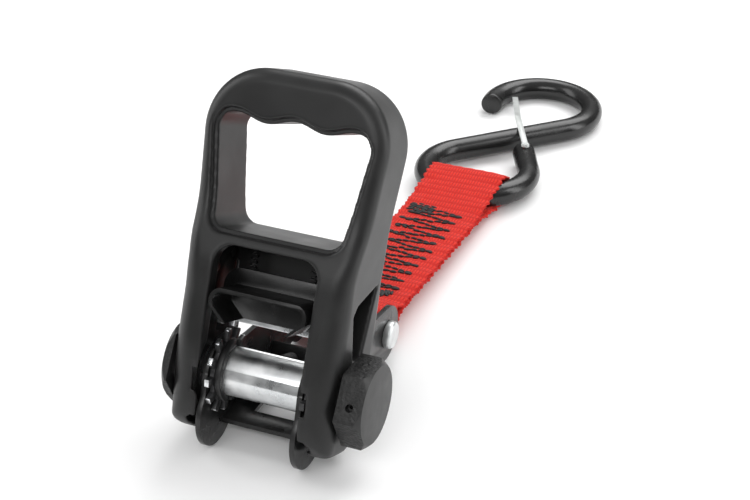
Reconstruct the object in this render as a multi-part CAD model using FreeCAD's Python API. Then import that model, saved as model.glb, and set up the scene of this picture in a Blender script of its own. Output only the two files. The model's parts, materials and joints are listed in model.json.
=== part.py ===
"""Ratchet tie-down for 35 mm webbing, with a short hook strap, built piece by piece.

X is the spool axis, +Y runs back along the strap to the hook, +Z is up and Z = 0 is the
floor that the frame and the hook lie on. Sizes are in millimetres. Left is -X.
The handle stands up, leaning back; its parts are drawn upright and then turned.
"""

import FreeCAD, Part
import math
import os

V = FreeCAD.Vector

# ---- driving dimensions ---------------------------------------------------------------
MIDDLE_X = -4.0  # the frame's middle and the spool axis, set so that the whole part
SPOOL_Y = -151.4  # is centred on the origin
SPOOL_Z = 28.5
LEAN = 25.0  # the handle's lean back from upright

WEB_WIDTH = 34.0
WEB_THICK = 1.7

SHAFT_R = 9.2  # the two half-round shafts together
SLOT_GAP = 2.6
RUNNING = 0.08  # radial clearance of a turning fit
CLEAR = 0.3  # gap between pieces that move past each other

PLATE_IN = 17.8  # half the clear width between the frame's side plates
PLATE = 2.0
WHEEL_THICK = 2.0
WHEEL_LEFT = -PLATE_IN + 0.2  # the left wheel runs inside its side plate
WHEEL_RIGHT = PLATE_IN + PLATE + 0.25  # and the right wheel outside its own
CHEEK_IN = WHEEL_RIGHT + WHEEL_THICK + CLEAR
CHEEK_THICK = 2.0
PLASTIC_IN = CHEEK_IN + CHEEK_THICK

TEETH = 12
TIP_R = 16.0
ROOT_R = 12.0
PAWL_REACH = 3.0  # how far a pawl drops into a tooth gap
PAWL_LIFT = 4.0  # how far a pawl is pulled out
PAWL_THICK = 3.0

BOLT_Y = 68.0  # from the spool axis back to the anchor bolt
BOLT_Z = 11.5
BOLT_R = 3.9
SLEEVE_R = 6.0
FOOT_R = 14.0
FOOT_Y = -6.0
BASE_LOW = 6.0
BASE_THICK = 2.0
PLATE_R = 13.0  # the side plate's round top, over the spool

LOCK_TURN = 115.0  # the lock pawl's slide, turned back from upright
LOCK_EAR_TOP = 25.0
LOCK_TOP = 33.0
SEAT_R = 43.0  # from the spool axis to the bridge that the lock springs push on
SEAT_THICK = 1.8
LOCK_SPRING_X = 8.5

BOLT_HEAD_R = 5.6
BOLT_HEAD = 3.2
NUT_FLATS = 13.0
NUT_THICK = 4.2

GRIP_TOP = 112.0  # from the spool axis to the top of the grip
GRIP_LOW = -24.0
GRIP_HALF = 32.3  # half its width, up to GRIP_FLARE
GRIP_FLARE = 42.0
GRIP_TOP_HALF = 37.4
GRIP_CORNER = 25.0
# the grip seen from the side: towards the front, outward, and the rounding of the corner
GRIP_SIDE = (
    (13.0, 120.0, 0.5),
    (13.0, 62.0, 30.0),
    (18.5, 44.0, 18.0),
    (18.5, 10.0, 20.0),
    (13.0, -24.0, 16.0),
    (-15.0, -24.0, 17.5),
    (-23.5, 4.0, 18.0),
    (-23.5, 30.0, 30.0),
    (-15.0, 60.0, 30.0),
    (-15.0, 120.0, 0.5),
)
LIP_HALF = PLATE_IN + PLATE + CLEAR  # the arms' front lips, which come in over the wheels
LIP_BACK = 12.2
WALL_FRONT = -8.0  # the wall across the back of the opening, behind the drive springs
WALL_BACK = -10.5
WALL_LOW = 34.5
OPEN_TOP = 48.0  # top of the lower opening, under the crossbar
WIN_LOW = 53.0
WIN_TOP = 93.0
WIN_LOW_HALF = 24.5
WIN_TOP_HALF = 30.0
SCALLOP_R = 16.0
SCALLOP_DEEP = 2.4
SCALLOP_STEP = 23.0

KNOB_SPANS = {"left": (-35.5, -32.6), "right": (33.6, 43.5)}
KNOB_FLATS = 29.4
KNOB_TURN = 25.0  # angle of the hexagon's first corner from straight up
KNOB_CHAMFER = 2.2  # how far inside its corners the knob's outer face ends
SHAFT_LEFT = KNOB_SPANS["left"][0] + 1.0
SHAFT_RIGHT = KNOB_SPANS["right"][1] - 2.0
PIN_R = 1.5

COLLAR_R = 11.8
COLLAR_IN = 13.3

CHEEK_FRONT = 11.9
CHEEK_BACK = 13.5  # level with the spool; it narrows above, in front of the wall
CHEEK_LOW = -20.0
DRIVE_EAR_TOP = 24.0
DRIVE_TOP = 34.0
DRIVE_HALF = 16.5
DRIVE_SPRING_X = 12.0
RIVETS = ((-3.5, 42.5), (8.0, 38.0), (9.4, 20.6))  # towards the front, and outward
RIVET_R = 1.8
RIVET_DEEP = 2.0

TRAY_FRONT = 19.5
TRAY_BACK = PAWL_THICK / 2
TRAY_HALF = 19.0
TRAY_LOW_HALF = 13.0
TRAY_LOW = 20.5
TRAY_SHOULDER = 26.0
TRAY_TOP = 32.5
TRAY_WALL = 1.5
TRAY_PLATE_HALF = 21.4
TRAY_PLATE_LOW = 20.8
TRAY_PLATE_TOP = 38.5
TRAY_MOUTH_HALF = 11.2

LOOP_LEN = 22.0  # how far each loop of the strap takes to close to two flat layers
LOOP_SEAM = 0.05  # half the gap between the layers where a loop closes

ROD_R = 5.25
EYE_R = 24.0
EYE_X = 4.0
EYE_Y = 217.0
BOW_R = 25.0
BOW_X = 10.6
BOW_Y = 293.0
HOOK_LIFT = 2.25  # the strap's lower layer lifts the eye off the floor
EYE_TAIL = 19.5  # the straight end of the eye, which closes it against the shank
EYE_ARC = 250.0
BOW_ARC = 236.0
EYE_LOOP_Y = EYE_Y - EYE_R
EYE_Z = ROD_R + HOOK_LIFT
EYE_ROOM = 0.5  # between the rod and the webbing above and below it
EYE_BEND = 11.0  # how far the eye curves away within the width of the webbing

KEEPER_WIDE = 2.8
KEEPER_THICK = 0.9
KEEPER_BACK = 5.0  # from the end of the eye's rod back to the keeper's rivet
KEEPER_KNEE = (6.6, 268.0)
KEEPER_END = (-5.6, 300.6)
KEEPER_DROP = -0.4  # the keeper's free end, level with the middle of the rod
KEEPER_PIN_R = 0.88

parts = {}


# ---- shapes that several pieces share -------------------------------------------------
def add(name, shape):
    """Keep a piece under its node name, moved from the spool axis's frame to the part's own."""
    shape = shape.copy()
    shape.translate(V(MIDDLE_X, SPOOL_Y, 0))
    parts[name] = shape


def polygon(points):
    return Part.makePolygon([V(*p) for p in points] + [V(*points[0])])


def rod_x(radius, low, high, y=0.0, z=0.0):
    """A cylinder along X from low to high."""
    return Part.makeCylinder(radius, high - low, V(low, y, z), V(1, 0, 0))


def ring_x(outer, inner, low, high, y=0.0, z=0.0):
    return rod_x(outer, low, high, y, z).cut(rod_x(inner, low - 1, high + 1, y, z))


def box(x0, x1, y0, y1, z0, z1):
    return Part.makeBox(x1 - x0, y1 - y0, z1 - z0, V(x0, y0, z0))


def sheet_x(outline, low, high):
    """An outline of (y, z) points made a plate from x = low to x = high."""
    face = Part.Face(polygon([(low, y, z) for y, z in outline]))
    return face.extrude(V(high - low, 0, 0))


def both_sides(low, high):
    """The spans of a piece on the left and of its twin on the right."""
    return {"left": (-high, -low), "right": (low, high)}


def lean_back(shape, angle=LEAN):
    """Turn a piece drawn upright about an axis at the origin, and lift it to the spool axis.

    Upright, a piece has x across, z outward from the spool axis and -y towards the front.
    """
    shape = shape.copy()
    shape.rotate(V(0, 0, 0), V(1, 0, 0), -angle)
    shape.translate(V(0, 0, SPOOL_Z))
    return shape


def rounded(points, radii):
    """A closed wire in the XZ plane through the points, each corner rounded by its radius."""
    count = len(points)
    edges = []
    ends = []
    for i in range(count):
        here = V(points[i][0], 0, points[i][1])
        back = V(points[i - 1][0], 0, points[i - 1][1]) - here
        on = V(points[(i + 1) % count][0], 0, points[(i + 1) % count][1]) - here
        back.normalize()
        on.normalize()
        half = back.getAngle(on) / 2
        run = radii[i] / math.tan(half)
        start = here + back * run
        end = here + on * run
        middle = back + on
        middle.normalize()
        centre = here + middle * (radii[i] / math.sin(half))
        ends.append((start, centre - middle * radii[i], end))
    for i in range(count):
        start, mid, end = ends[i]
        edges.append(Part.Arc(start, mid, end).toShape())
        after = ends[(i + 1) % count][0]
        if end.distanceToPoint(after) > 1e-6:
            edges.append(Part.LineSegment(end, after).toShape())
    return Part.Wire(edges)


def slab(wire, front, back):
    """A wire in the XZ plane made a solid from t = back to t = front, where t = -y."""
    face = Part.Face(wire)
    face.translate(V(0, -front, 0))
    return face.extrude(V(0, front - back, 0))


# ---- frame ----------------------------------------------------------------------------
def lock_turned(shape):
    return lean_back(shape, LOCK_TURN)


def side_plate(low, high):
    """A side plate: round over the spool, a foot at the front, an anchor lobe at the back."""
    over = rod_x(PLATE_R, low, high, 0, SPOOL_Z)
    foot = rod_x(FOOT_R, low, high, FOOT_Y, FOOT_R)
    lobe = rod_x(BOLT_Z, low, high, BOLT_Y, BOLT_Z)
    web = sheet_x(
        [
            (FOOT_Y - FOOT_R, FOOT_R),
            (-15.2, SPOOL_Z - 5.0),
            (-12.2, SPOOL_Z + 4.5),
            (0.0, SPOOL_Z + PLATE_R - 0.1),
            (12.4, SPOOL_Z + 3.6),
            (BOLT_Y + 1.8, 2 * BOLT_Z - 0.2),
            (BOLT_Y, 0.5),
            (BOLT_Y - 8.0, 3.5),
            (FOOT_Y + 12.0, 5.0),
            (FOOT_Y, 2.0),
        ],
        low,
        high,
    )
    return over.fuse([foot, lobe, web])


def base_frame():
    plates = [side_plate(*span) for span in both_sides(PLATE_IN, PLATE_IN + PLATE).values()]
    base = box(-PLATE_IN, PLATE_IN, -3.0, 50.0, BASE_LOW, BASE_LOW + BASE_THICK)
    window = box(-8.5, 8.5, 5.5, 40.0, BASE_LOW - 1, BASE_LOW + BASE_THICK + 1)
    frame = plates[0].fuse([plates[1], base.cut(window)])
    wide = PLATE_IN + PLATE + 1
    frame = frame.cut(rod_x(SHAFT_R + RUNNING, -wide, wide, 0, SPOOL_Z))
    frame = frame.cut(rod_x(BOLT_R + RUNNING, -wide, wide, BOLT_Y, BOLT_Z))
    slot_low = TIP_R + 0.4 - PAWL_REACH - CLEAR
    slot_high = LOCK_EAR_TOP + PAWL_LIFT + CLEAR
    half = PAWL_THICK / 2 + 0.15
    slot = box(-wide, wide, -half, half, slot_low, slot_high)
    return frame.cut(lock_turned(slot)).removeSplitter()


def lock_pawl():
    """The locking pawl: a plate with an ear on each side that drops into both wheels."""
    low = TIP_R + 0.4
    half = PAWL_THICK / 2
    ears = box(-CHEEK_IN + 0.4, CHEEK_IN - 0.4, -half, half, low, LOCK_EAR_TOP)
    body = box(-PLATE_IN + 0.3, PLATE_IN - 0.3, -half, half, LOCK_EAR_TOP, LOCK_TOP)
    return lock_turned(ears.fuse(body).removeSplitter())


def lock_seat():
    """The small bridge between the side plates that the lock springs push against."""
    return lock_turned(box(-PLATE_IN, PLATE_IN, -5.5, 1.6, SEAT_R, SEAT_R + SEAT_THICK))


def spring(radius, wire, low, high, turns, x):
    """A compression spring upright about (x, 0), from low to high."""
    pitch = (high - low - wire) / turns
    helix = Part.makeHelix(pitch, pitch * turns, radius)
    helix.translate(V(x, 0, low + wire / 2))
    profile = Part.Wire(Part.makeCircle(wire / 2, V(x + radius, 0, low + wire / 2), V(0, 1, 0)))
    return Part.Wire(helix.Edges).makePipeShell([profile], True, True)


def lock_springs():
    places = (-LOCK_SPRING_X, LOCK_SPRING_X)
    return Part.makeCompound([lock_turned(spring(2.4, 0.8, LOCK_TOP, SEAT_R, 6, x)) for x in places])


def anchor_bolt():
    """The bolt across the back of the frame, with its low domed head on the right."""
    face = PLATE_IN + PLATE
    shank = rod_x(BOLT_R, -face - NUT_THICK - 1, face, BOLT_Y, BOLT_Z)
    head = rod_x(BOLT_HEAD_R, face, face + BOLT_HEAD, BOLT_Y, BOLT_Z)
    rim = [e for e in head.Edges if e.BoundBox.XMin > face + BOLT_HEAD - 0.1]
    return shank.fuse(head.makeFillet(1.3, rim)).removeSplitter()


def hexagon(flats, turn=0.0, y=0.0, z=0.0):
    """The corners of a hexagon in the YZ plane, the first at the given angle from +Y."""
    corner = flats / math.sqrt(3)
    turns = [math.radians(turn + 60 * i) for i in range(6)]
    return [(y + corner * math.cos(t), z + corner * math.sin(t)) for t in turns]


def anchor_nut():
    face = PLATE_IN + PLATE
    nut = sheet_x(hexagon(NUT_FLATS, 0, BOLT_Y, BOLT_Z), -face - NUT_THICK, -face)
    return nut.cut(rod_x(BOLT_R, -face - NUT_THICK - 1, -face + 1, BOLT_Y, BOLT_Z))


def make_frame():
    add("base_frame", base_frame())
    add("lock_pawl", lock_pawl())
    add("lock_spring_seat", lock_seat())
    add("lock_springs", lock_springs())
    add("anchor_bolt", anchor_bolt())
    add("anchor_nut", anchor_nut())
    sleeve = ring_x(SLEEVE_R, BOLT_R, -PLATE_IN, PLATE_IN, BOLT_Y, BOLT_Z)
    add("anchor_sleeve", sleeve)


# ---- spool ----------------------------------------------------------------------------
def knob_cross(radius, half):
    """A rod across the right knob, front to back, from -half to half."""
    place = V(sum(KNOB_SPANS["right"]) / 2, -half, 0)
    return Part.makeCylinder(radius, 2 * half, place, V(0, 1, 0))


def half_shaft(side):
    """Half of the spool: a half-round bar with the webbing slot along its flat."""
    left, right = SHAFT_LEFT, SHAFT_RIGHT
    bar = rod_x(SHAFT_R, left, right)
    near, far = (-SHAFT_R - 1, -SLOT_GAP / 2) if side == "front" else (SLOT_GAP / 2, SHAFT_R + 1)
    half = bar.common(box(left, right, near, far, -SHAFT_R, SHAFT_R))
    return lean_back(half.cut(knob_cross(PIN_R, 30)))


def ratchet_wheel(low, high):
    """A wheel of square-backed teeth; a gap faces each pawl when the handle is at rest."""
    pitch = 2 * math.pi / TEETH
    tooth = ((TIP_R, -0.24), (TIP_R, 0.10), (ROOT_R, 0.26), (ROOT_R, 0.74))  # radius, share of pitch
    points = []
    for i in range(TEETH):
        start = math.pi / 2 + (i + 0.5) * pitch
        for radius, share in tooth:
            turn = start + share * pitch
            points.append((radius * math.cos(turn), radius * math.sin(turn)))
    wheel = sheet_x(points, low, high)
    return lean_back(wheel.cut(rod_x(SHAFT_R, low - 1, high + 1)))


def collar():
    """A moulded collar beside the left wheel, open where the webbing slot passes."""
    low = WHEEL_LEFT + WHEEL_THICK + 0.05
    ring = ring_x(COLLAR_R, SHAFT_R, low, -COLLAR_IN)
    half = SLOT_GAP / 2 + 0.4
    slot = box(-COLLAR_IN - 1, -COLLAR_IN + 1, -half, half, -COLLAR_R - 1, COLLAR_R + 1)
    return lean_back(ring.cut(slot))


def knob(side):
    """A hexagonal knob with a chamfered outer face: a thick one right and a thin one left."""
    low, high = KNOB_SPANS[side]
    outer, inward = (high, -1) if side == "right" else (low, 1)
    body = sheet_x(hexagon(KNOB_FLATS, 90 + KNOB_TURN), low, high)
    face_r = KNOB_FLATS / math.sqrt(3) - KNOB_CHAMFER
    thick = high - low
    cone = Part.makeCone(face_r, face_r + thick, thick, V(outer, 0, 0), V(inward, 0, 0))
    body = body.common(cone)
    body = body.cut(rod_x(SHAFT_R + 0.01, SHAFT_LEFT - 0.1, SHAFT_RIGHT + 0.1))
    body.translate(V(0, 0, SPOOL_Z))
    return body.cut(lean_back(knob_cross(PIN_R, 30)))


def knob_pin():
    """A rolled spring pin across the right knob, through both half shafts."""
    return lean_back(knob_cross(PIN_R - 0.02, 12).cut(knob_cross(0.8, 13)))


def make_spool():
    for side in ("front", "rear"):
        add("half_shaft_" + side, half_shaft(side))
    for side, low in (("left", WHEEL_LEFT), ("right", WHEEL_RIGHT)):
        add("ratchet_wheel_" + side, ratchet_wheel(low, low + WHEEL_THICK))
        add("knob_" + side, knob(side))
    add("spool_collar", collar())
    add("knob_pin", knob_pin())


# ---- handle ---------------------------------------------------------------------------
def grip_outline():
    """The grip's outer outline, seen from the front."""
    right = [(GRIP_TOP_HALF, GRIP_TOP), (GRIP_HALF, GRIP_FLARE), (GRIP_HALF, GRIP_LOW)]
    left = [(-x, r) for x, r in reversed(right)]
    return rounded(left + right, [6.5, 60.0, GRIP_CORNER, GRIP_CORNER, 60.0, 6.5])


def grip_side():
    """The grip's whole depth: its outline seen from the side, across its full width."""
    wire = rounded([(t, r) for t, r, _ in GRIP_SIDE], [radius for _, _, radius in GRIP_SIDE])
    reach = 2 * GRIP_TOP_HALF
    depth = slab(wire, reach, -reach)
    depth.rotate(V(0, 0, 0), V(0, 0, 1), -90)
    return depth


def hand_window():
    """The hand hole, with three finger hollows under the top bar."""
    hole = slab(
        rounded(
            [
                (-WIN_LOW_HALF, WIN_LOW),
                (-WIN_TOP_HALF, WIN_TOP),
                (WIN_TOP_HALF, WIN_TOP),
                (WIN_LOW_HALF, WIN_LOW),
            ],
            [4.5, 4.5, 4.5, 4.5],
        ),
        20,
        -20,
    )
    places = [i * SCALLOP_STEP for i in (-1, 0, 1)]
    centre_z = WIN_TOP + SCALLOP_DEEP - SCALLOP_R
    scallops = [Part.makeCylinder(SCALLOP_R, 40, V(x, -20, centre_z), V(0, 1, 0)) for x in places]
    within = box(-WIN_TOP_HALF + 1.5, WIN_TOP_HALF - 1.5, -20, 20, WIN_TOP - 8, WIN_TOP + 8)
    return hole.fuse([scallop.common(within) for scallop in scallops])


def side_slots():
    """The tapered slot through each arm of the grip."""
    corners = [(12.0, 40.5), (-5.0, 34.0), (-7.5, 30.5), (-1.5, 14.0), (6.5, 13.5)]
    face = polygon([(-60, y, r) for y, r in corners])
    return Part.Face(face).extrude(V(120, 0, 0))


def lower_opening():
    """The space between the arms: wide behind, and narrower between their front lips."""

    def between(half, front, back):
        corners = [(-half, -60), (-half, OPEN_TOP), (half, OPEN_TOP), (half, -60)]
        return slab(rounded(corners, [1.0, 7.0, 7.0, 1.0]), front, back)

    wheels = rod_x(TIP_R + 2 * CLEAR, -CHEEK_IN, CHEEK_IN)
    return between(CHEEK_IN, LIP_BACK, -40).fuse([between(LIP_HALF, 40, 0), wheels])


def grip():
    body = slab(grip_outline(), 40, -40).common(grip_side())
    body = body.cut([hand_window(), lower_opening()])
    wall = box(-CHEEK_IN, CHEEK_IN, -WALL_FRONT, -WALL_BACK, WALL_LOW, OPEN_TOP + 1)
    body = body.fuse(wall)
    pocket = []
    for low, high in both_sides(CHEEK_IN - 1, PLASTIC_IN).values():
        pocket.append(box(low, high, -LIP_BACK, -WALL_FRONT, CHEEK_LOW - 0.4, OPEN_TOP))
        pocket.append(box(low, high, -WALL_FRONT, 40, CHEEK_LOW - 0.4, WALL_LOW))
    deep = PLASTIC_IN + RIVET_DEEP
    holes = [rod_x(RIVET_R, -deep, deep, -t, r) for t, r in RIVETS]
    holes.append(rod_x(SHAFT_R + 0.3, -50, 50))
    return lean_back(body.cut(pocket + holes + [side_slots()]))


def cheek(low, high):
    """A steel cheek inside the grip, which turns on the spool and guides the drive pawl."""
    outline = rounded(
        [
            (CHEEK_FRONT, CHEEK_LOW),
            (CHEEK_FRONT, OPEN_TOP),
            (WALL_FRONT + CLEAR, OPEN_TOP),
            (WALL_FRONT + CLEAR, WALL_LOW - 1),
            (-CHEEK_BACK, TIP_R),
            (-CHEEK_BACK, CHEEK_LOW),
        ],
        [10.0, 3.0, 3.0, 5.0, 5.0, 10.0],
    )
    plate = Part.Face(outline).extrude(V(0, high - low, 0))
    plate.rotate(V(0, 0, 0), V(0, 0, 1), -90)
    plate.translate(V(low, 0, 0))
    plate = plate.cut(rod_x(SHAFT_R + RUNNING, low - 1, high + 1))
    half = PAWL_THICK / 2 + 0.15
    slot_low = TIP_R + 0.4 - PAWL_REACH - CLEAR
    slot_high = DRIVE_EAR_TOP + PAWL_LIFT + CLEAR
    plate = plate.cut(box(low - 1, high + 1, -half, half, slot_low, slot_high))
    for t, r in RIVETS:
        plate = plate.cut(rod_x(RIVET_R, low - 1, high + 1, -t, r))
    return lean_back(plate)


def cheek_rivets():
    """The rivets that hold the steel cheeks in the grip."""
    rivets = []
    for low, high in both_sides(CHEEK_IN, PLASTIC_IN + RIVET_DEEP).values():
        rivets += [lean_back(rod_x(RIVET_R - 0.02, low, high, -t, r)) for t, r in RIVETS]
    return Part.makeCompound(rivets)


def drive_pawl():
    """The driving pawl: a zinc plate whose ears pass through both cheeks' slots."""
    half = PAWL_THICK / 2
    low = TIP_R + 0.4
    wide = PLASTIC_IN - 0.25
    ears = box(-wide, wide, -half, half, low, DRIVE_EAR_TOP)
    clear = PLATE_IN + PLATE + 0.1
    tooth = WHEEL_LEFT + WHEEL_THICK + 0.2
    gaps = [
        box(x_low, x_high, -half - 1, half + 1, low - 1, low + 2.1)
        for x_low, x_high in ((-clear, -PLATE_IN), (tooth, clear))
    ]
    body = box(-DRIVE_HALF, DRIVE_HALF, -half, half, DRIVE_EAR_TOP, DRIVE_TOP)
    return lean_back(ears.cut(gaps).fuse(body).removeSplitter())


def tray_outline(inset):
    return [
        (-TRAY_LOW_HALF + inset, TRAY_LOW),
        (-TRAY_HALF + inset, TRAY_SHOULDER),
        (-TRAY_HALF + inset, TRAY_TOP - inset),
        (TRAY_HALF - inset, TRAY_TOP - inset),
        (TRAY_HALF - inset, TRAY_SHOULDER),
        (TRAY_LOW_HALF - inset, TRAY_LOW),
    ]


def pawl_pull():
    """The black pressed tray on the drive pawl that the fingers pull."""
    outer = rounded(tray_outline(0), [0.6, 3.0, 4.5, 4.5, 3.0, 0.6])
    inner = rounded(tray_outline(TRAY_WALL), [0.5, 2.0, 3.0, 3.0, 2.0, 0.5])
    floor = TRAY_BACK + TRAY_WALL
    tray = slab(outer, TRAY_FRONT, TRAY_BACK).cut(slab(inner, TRAY_FRONT + 1, floor))
    half = TRAY_MOUTH_HALF
    mouth = box(-half, half, -TRAY_FRONT - 1, -floor, TRAY_LOW - 5, TRAY_LOW + 3.5)
    half, top = TRAY_PLATE_HALF, TRAY_PLATE_TOP
    plate = [(-half, TRAY_PLATE_LOW), (-half, top), (half, top), (half, TRAY_PLATE_LOW)]
    back = slab(rounded(plate, [1.0, 7.0, 7.0, 1.0]), floor, TRAY_BACK)
    return lean_back(tray.cut(mouth).fuse(back).removeSplitter())


def drive_springs():
    places = (-DRIVE_SPRING_X, DRIVE_SPRING_X)
    return Part.makeCompound([lean_back(spring(1.2, 0.6, DRIVE_TOP, OPEN_TOP, 6, x)) for x in places])


def make_handle():
    add("handle_grip", grip())
    for side, (low, high) in both_sides(CHEEK_IN, PLASTIC_IN).items():
        add("handle_cheek_" + side, cheek(low, high))
    add("cheek_rivets", cheek_rivets())
    add("drive_pawl", drive_pawl())
    add("pawl_pull", pawl_pull())
    add("drive_springs", drive_springs())


# ---- strap ----------------------------------------------------------------------------
def loop(y, z, inner, toward, mid_z, x_low, room=0.0):
    """One end loop of the strap: a drop of webbing round a bar, closing along the strap.

    room lengthens the loop past the bar, where a curved bar needs it.
    """
    end = y + toward * LOOP_LEN
    x_high = x_low + WEB_WIDTH

    def drop(reach, tail, half, low, high):
        """The solid drop: round at a reach from the bar, then closing to half at its tail."""
        past = y - toward * room
        outline = [(y, z - reach), (tail, mid_z - half), (tail, mid_z + half), (y, z + reach)]
        if room:
            outline += [(past, z + reach), (past, z - reach)]
        return rod_x(reach, low, high, past, z).fuse(sheet_x(outline, low, high))

    shell = drop(inner + WEB_THICK, end, WEB_THICK, x_low, x_high)
    return shell.cut(drop(inner, end - toward, LOOP_SEAM, x_low - 1, x_high + 1))


def strap():
    near = loop(BOLT_Y, BOLT_Z, SLEEVE_R + 0.6, 1, BOLT_Z - 0.6, -WEB_WIDTH / 2)
    far_x = EYE_X - WEB_WIDTH / 2
    far = loop(EYE_LOOP_Y, EYE_Z, ROD_R + EYE_ROOM, -1, EYE_Z + 0.6, far_x, EYE_BEND)
    y0 = BOLT_Y + LOOP_LEN
    y1 = EYE_LOOP_Y - LOOP_LEN
    z0 = BOLT_Z - 0.6
    z1 = EYE_Z + 0.6

    def across(y, x, z):
        """The strap's two layers, cut across at y."""
        left, right = x - WEB_WIDTH / 2, x + WEB_WIDTH / 2
        low, high = z - WEB_THICK, z + WEB_THICK
        return polygon([(left, y, low), (right, y, low), (right, y, high), (left, y, high)])

    middle = Part.makeLoft([across(y0, 0, z0), across(y1, EYE_X, z1)], True, True)
    return near.fuse([middle, far]).removeSplitter()


# ---- hook -----------------------------------------------------------------------------
def hook_path():
    """The S-hook's centreline, flat: the eye, the crossing shank and the open bow.

    Returned with the end of the eye and the direction of the rod there.
    """
    eye = V(EYE_X, EYE_Y, 0)
    bow = V(BOW_X, BOW_Y, 0)
    along = bow - eye
    cross = math.asin((EYE_R + BOW_R) / along.Length)
    heading = math.atan2(along.x, along.y) + cross
    side = V(-math.cos(heading), math.sin(heading), 0)
    leave_eye = eye + side * EYE_R
    reach_bow = bow - side * BOW_R
    eye_out = math.atan2(side.y, side.x)

    def on(centre, radius, angle):
        return centre + V(math.cos(angle), math.sin(angle), 0) * radius

    end_turn = eye_out + math.radians(EYE_ARC)
    eye_end = on(eye, EYE_R, end_turn)
    run = V(-math.sin(end_turn), math.cos(end_turn), 0)
    tail = eye_end + run * EYE_TAIL
    mid_turn = (eye_out + end_turn) / 2
    bow_in = eye_out - math.pi
    tip_turn = bow_in + math.radians(BOW_ARC)
    bow_mid = (bow_in + tip_turn) / 2
    wire = Part.Wire(
        [
            Part.LineSegment(tail, eye_end).toShape(),
            Part.Arc(eye_end, on(eye, EYE_R, mid_turn), leave_eye).toShape(),
            Part.LineSegment(leave_eye, reach_bow).toShape(),
            Part.Arc(reach_bow, on(bow, BOW_R, bow_mid), on(bow, BOW_R, tip_turn)).toShape(),
        ]
    )
    return wire, tail, run


def lay_hook(shape):
    """Lay a flat-drawn hook piece down: the bow on the floor, the eye on the strap."""
    shape = shape.copy()
    tilt = math.degrees(math.asin(HOOK_LIFT / (BOW_Y + BOW_R - EYE_LOOP_Y)))
    shape.rotate(V(0, EYE_LOOP_Y, 0), V(1, 0, 0), -tilt)
    shape.translate(V(0, 0, EYE_Z))
    return shape


def strip_between(start, end, start_z, end_z):
    """A straight stretch of the keeper's flat spring, its underside from start to end."""
    way = end - start
    side = V(way.y, -way.x, 0)
    side.normalize()
    side = side * (KEEPER_WIDE / 2)
    low = [start - side + V(0, 0, start_z), start + side + V(0, 0, start_z)]
    low += [end + side + V(0, 0, end_z), end - side + V(0, 0, end_z)]
    face = Part.Face(Part.makePolygon(low + low[:1]))
    return face.extrude(V(0, 0, KEEPER_THICK))


def keeper(root):
    """The flat spring: an eyelet at its root, over the shank, a knee, and down into the bow."""
    top = ROD_R + CLEAR
    knee = V(*KEEPER_KNEE, 0)
    flat = strip_between(root, knee, top, top)
    ramp = strip_between(knee, V(*KEEPER_END, 0), top, KEEPER_DROP)
    eyelet = Part.makeCylinder(KEEPER_WIDE / 2 + 0.5, KEEPER_THICK, root + V(0, 0, top))
    bend = Part.makeCylinder(KEEPER_WIDE / 2, KEEPER_THICK, knee + V(0, 0, top))
    strip = flat.fuse([ramp, eyelet, bend])
    return strip.cut(Part.makeCylinder(KEEPER_PIN_R + 0.02, 10, root + V(0, 0, top - 2)))


def make_hook():
    wire, tail, run = hook_path()
    profile = Part.Wire(Part.makeCircle(ROD_R, tail, run))
    rod = wire.makePipeShell([profile], True, True)
    add("s_hook", lay_hook(rod))

    root = tail - run * KEEPER_BACK
    add("keeper_strip", lay_hook(keeper(root)))
    pin = Part.makeCylinder(KEEPER_PIN_R, CLEAR + KEEPER_THICK + 1.0, root + V(0, 0, ROD_R - 0.6))
    cap = Part.makeCylinder(1.5, 0.5, root + V(0, 0, ROD_R + CLEAR + KEEPER_THICK + 0.02))
    add("keeper_rivet", lay_hook(pin.fuse(cap).cut(rod).removeSplitter()))


# ---- the whole part -------------------------------------------------------------------
make_frame()
make_spool()
make_handle()
add("strap_webbing", strap())
make_hook()

os.makedirs("parts", exist_ok=True)
for name, shape in parts.items():
    shape.exportStep("parts/" + name + ".step")
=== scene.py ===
"""The looks of a ratchet tie-down with a short hook strap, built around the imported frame.

+X is the spool axis to the right, +Y runs back along the strap to the hook, +Z is up.
Everything is in metres. The handle stands up, leaning back by LEAN from upright.
"""

import json
import math
import random

import bmesh
import bpy
import numpy as np
import openvdb
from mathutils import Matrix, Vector


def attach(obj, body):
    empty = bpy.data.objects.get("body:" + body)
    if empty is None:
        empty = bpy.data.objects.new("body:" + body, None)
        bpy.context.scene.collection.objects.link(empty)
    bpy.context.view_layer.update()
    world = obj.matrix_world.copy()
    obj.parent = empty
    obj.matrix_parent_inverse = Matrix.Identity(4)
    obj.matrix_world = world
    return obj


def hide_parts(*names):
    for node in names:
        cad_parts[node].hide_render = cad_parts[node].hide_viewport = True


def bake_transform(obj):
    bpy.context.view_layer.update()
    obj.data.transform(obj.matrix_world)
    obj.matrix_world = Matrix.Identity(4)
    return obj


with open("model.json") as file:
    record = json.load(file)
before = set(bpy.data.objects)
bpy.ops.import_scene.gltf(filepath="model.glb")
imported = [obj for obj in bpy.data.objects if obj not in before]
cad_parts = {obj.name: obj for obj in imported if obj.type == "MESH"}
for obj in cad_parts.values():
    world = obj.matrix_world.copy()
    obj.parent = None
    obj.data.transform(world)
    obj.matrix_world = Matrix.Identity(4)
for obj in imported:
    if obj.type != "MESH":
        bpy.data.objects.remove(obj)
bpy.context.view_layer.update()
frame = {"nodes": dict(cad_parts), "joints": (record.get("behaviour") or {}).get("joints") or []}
nodes = frame["nodes"]
joints = {joint["name"]: joint for joint in frame["joints"]}
MM = 0.001

# ---- stage: a white sweep under a wide soft light ----------------------------------------
# The floor is a plain white card. One broad soft box hangs behind the part, and weaker ones
# stand at each side and in front. The surroundings, which the black pieces mirror, are pale
# overhead and nearly black at the horizon.
scene = bpy.context.scene
scene.view_settings.view_transform = "Standard"
scene.view_settings.look = "None"

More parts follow.
